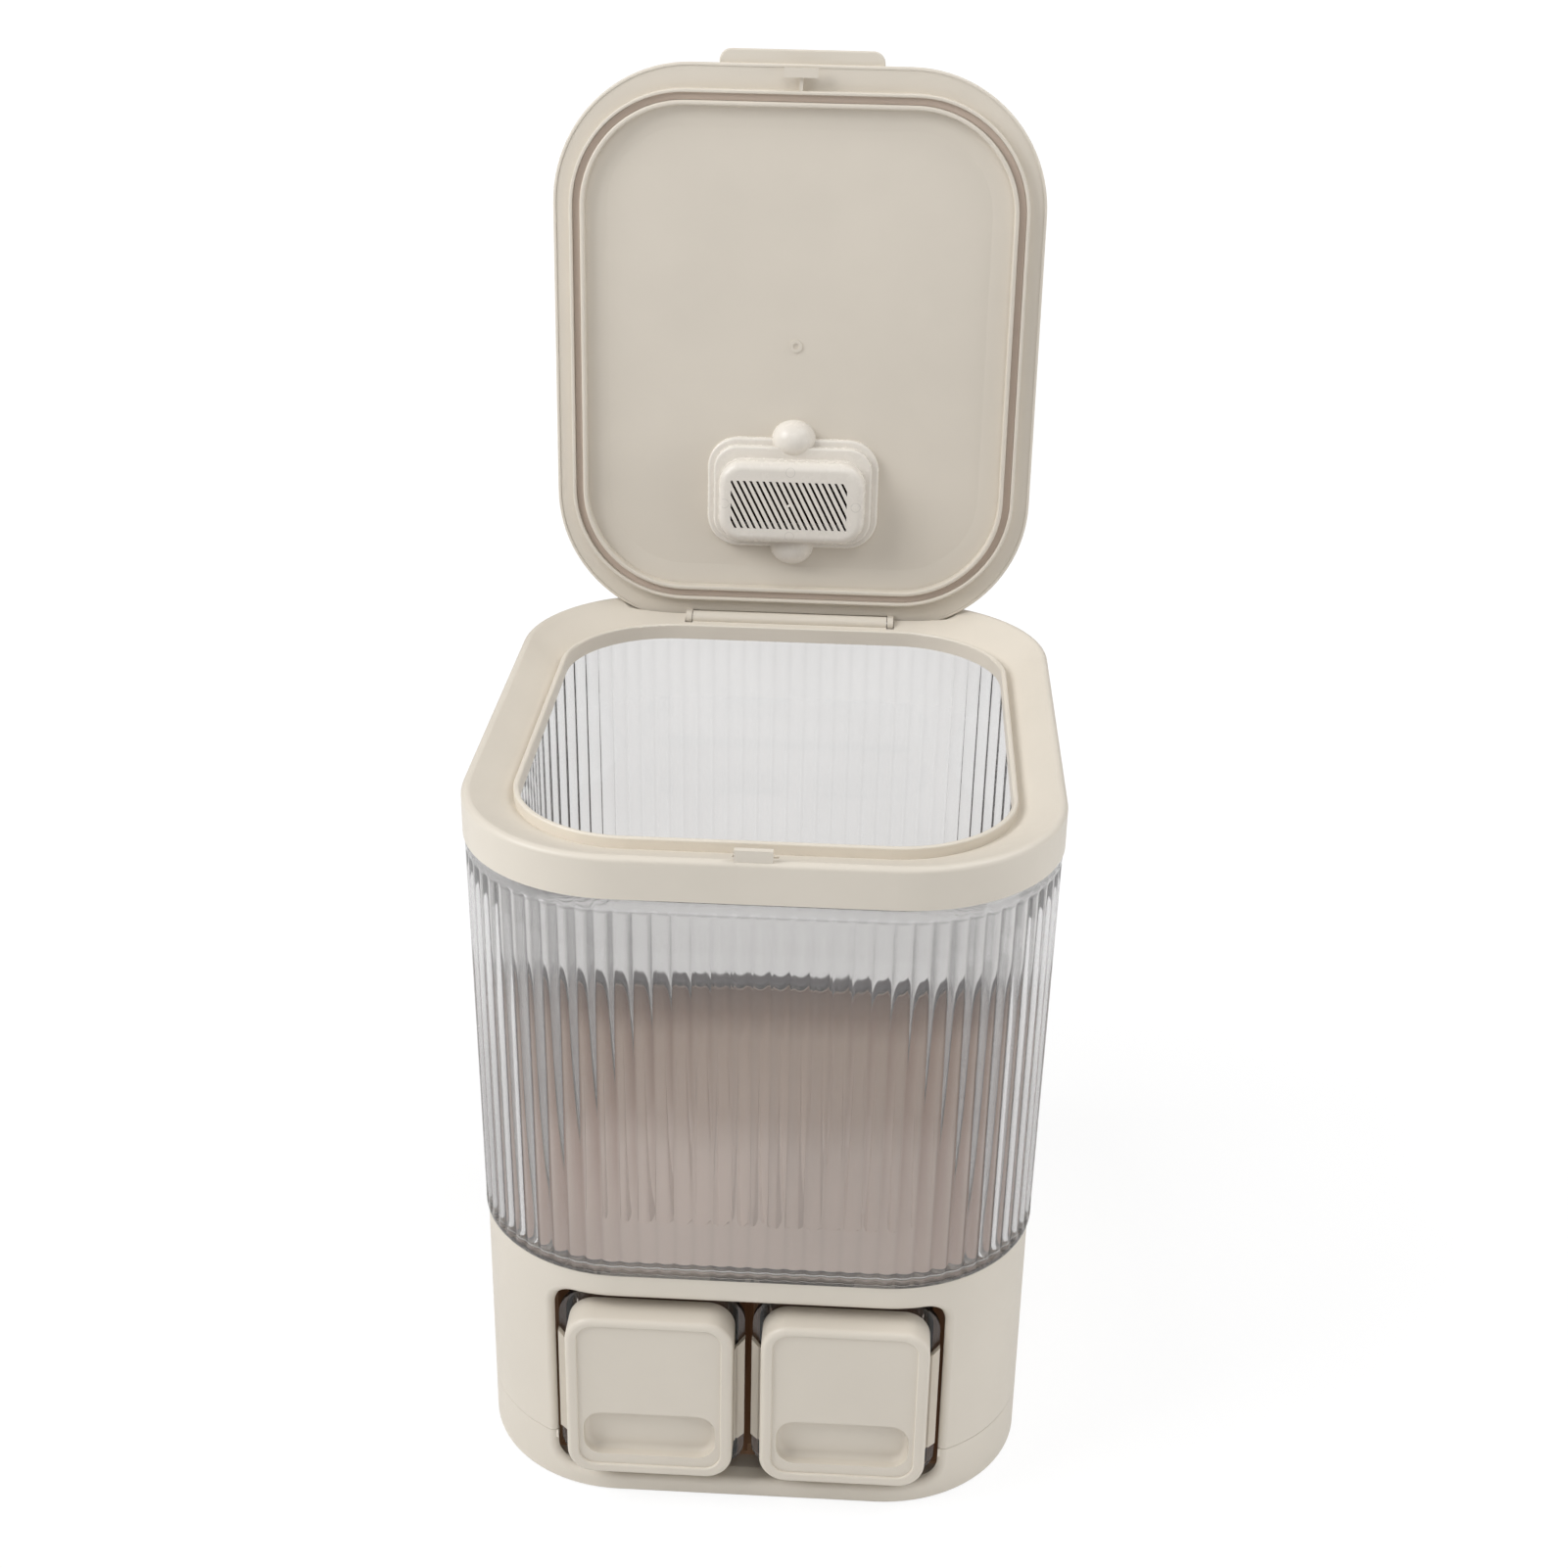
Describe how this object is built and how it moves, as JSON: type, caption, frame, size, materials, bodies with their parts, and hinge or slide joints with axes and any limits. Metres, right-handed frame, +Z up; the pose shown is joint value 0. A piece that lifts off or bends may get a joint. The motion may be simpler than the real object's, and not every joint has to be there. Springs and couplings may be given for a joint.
{
  "type": "rice dispenser with two drawers",
  "caption": "Free-standing rice bin with a clear fluted body, hinged gasketed lid with desiccant box, and pull-out measuring drawers in its base.",
  "frame": {"origin": "on the floor plane, in the middle of the overall footprint, which is also the middle of the bin within about a millimetre", "axes": "+Z up, -Y towards the user (drawers), +X to the user's right"},
  "size_m": [0.25, 0.304, 0.5841],
  "materials": {
    "base_plastic": "satin moulded",
    "foot_rubber": "matte",
    "screw_steel": "zinc plated",
    "chassis_plastic": "satin moulded",
    "floor_plastic": "satin moulded",
    "seal_rubber": "matte",
    "clear_plastic": "clear, fluted outside",
    "ring_plastic": "satin moulded",
    "pin_steel": "ground",
    "lid_plastic": "satin moulded",
    "panel_plastic": "satin moulded",
    "gasket_rubber": "soft matte",
    "desiccant_plastic": "satin moulded",
    "cup_plastic": "clear",
    "front_plastic": "satin moulded",
    "shutter_plastic": "satin moulded"
  },
  "bodies": {
    "bin": {"base_tray": "base_plastic", "base_shell": "base_plastic", "non_slip_feet": "foot_rubber", "base_screws": "screw_steel", "drawer_chassis": "chassis_plastic", "hopper_floor": "floor_plastic", "hopper_seal": "seal_rubber", "bin_body": "clear_plastic", "top_ring": "ring_plastic", "hinge_pin": "pin_steel"},
    "lid": {"lid_shell": "lid_plastic", "lid_inner_panel": "panel_plastic", "lid_gasket": "gasket_rubber"},
    "desiccant_box": {"desiccant_tray": "desiccant_plastic"},
    "desiccant_cap": {"desiccant_cover": "desiccant_plastic"},
    "left_drawer": {"drawer_left_cup": "cup_plastic", "drawer_left_front": "front_plastic", "drawer_left_shutter": "shutter_plastic"},
    "right_drawer": {"drawer_right_cup": "cup_plastic", "drawer_right_front": "front_plastic", "drawer_right_shutter": "shutter_plastic"}
  },
  "joints": [
    {"name": "lid_hinge", "type": "hinge", "parent": "bin", "child": "lid", "pos_m": [0, 0.1299, 0.3142], "axis": [1, 0, 0], "range_deg": [0, 92.9]},
    {"name": "left_drawer_slide", "type": "slide", "parent": "bin", "child": "left_drawer", "axis": [0, -1, 0], "range_m": [0, 0.1]},
    {"name": "right_drawer_slide", "type": "slide", "parent": "bin", "child": "right_drawer", "axis": [0, -1, 0], "range_m": [0, 0.1]},
    {"name": "desiccant_box_release", "type": "slide", "parent": "lid", "child": "desiccant_box", "axis": [0, -0.9987, 0.0506], "range_m": [0, 0.03]},
    {"name": "desiccant_cover_release", "type": "slide", "parent": "desiccant_box", "child": "desiccant_cap", "axis": [0, -0.9987, 0.0506], "range_m": [0, 0.02]}
  ]
}
